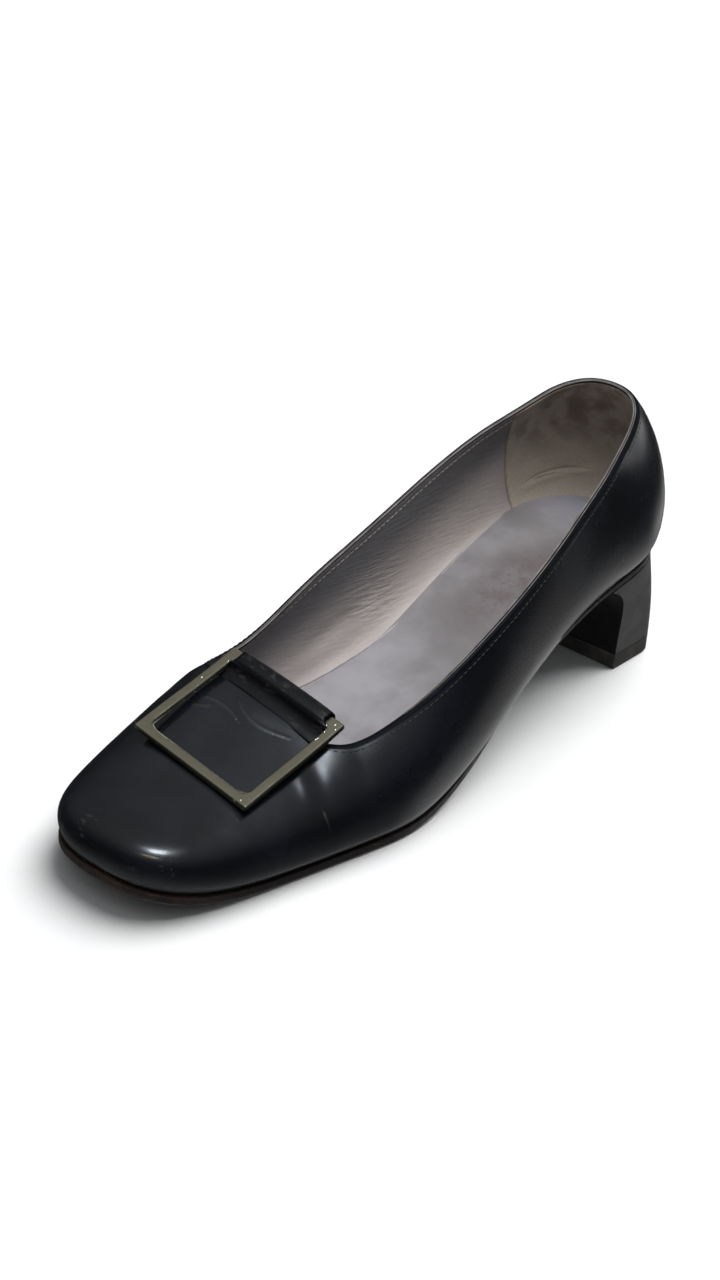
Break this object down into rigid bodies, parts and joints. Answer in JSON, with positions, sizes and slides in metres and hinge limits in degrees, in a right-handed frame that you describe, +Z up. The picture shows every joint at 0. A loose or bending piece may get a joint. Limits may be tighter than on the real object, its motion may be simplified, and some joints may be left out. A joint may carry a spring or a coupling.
{
  "type": "block-heel court shoe",
  "caption": "Left court shoe with a hollow polished leather upper, soft square toe, thin arched sole, low block heel and a square metal buckle frame looped to the vamp.",
  "frame": {"origin": "centre of the shoe's box on the floor under its sole", "axes": "+X to the wearer's left, the outer side; -Y towards the toe; +Z up from the floor"},
  "size_m": [0.0816, 0.2469, 0.0917],
  "materials": {
    "upper": "polished blue-black calf with soft wear creases",
    "outsole": "dark trimmed edge, worn satin",
    "insole": "matte grey sock leather, worn",
    "heel": "black leather cover, satin",
    "top_lift": "matte black-brown",
    "buckle_frame": "dull pale gold plating, worn",
    "buckle_loop": "polished black calf"
  },
  "bodies": {
    "root": {"upper": "upper", "outsole": "outsole", "insole": "insole", "heel": "heel", "top_lift": "top_lift", "buckle_frame": "buckle_frame", "buckle_loop": "buckle_loop"}
  },
  "joints": []
}
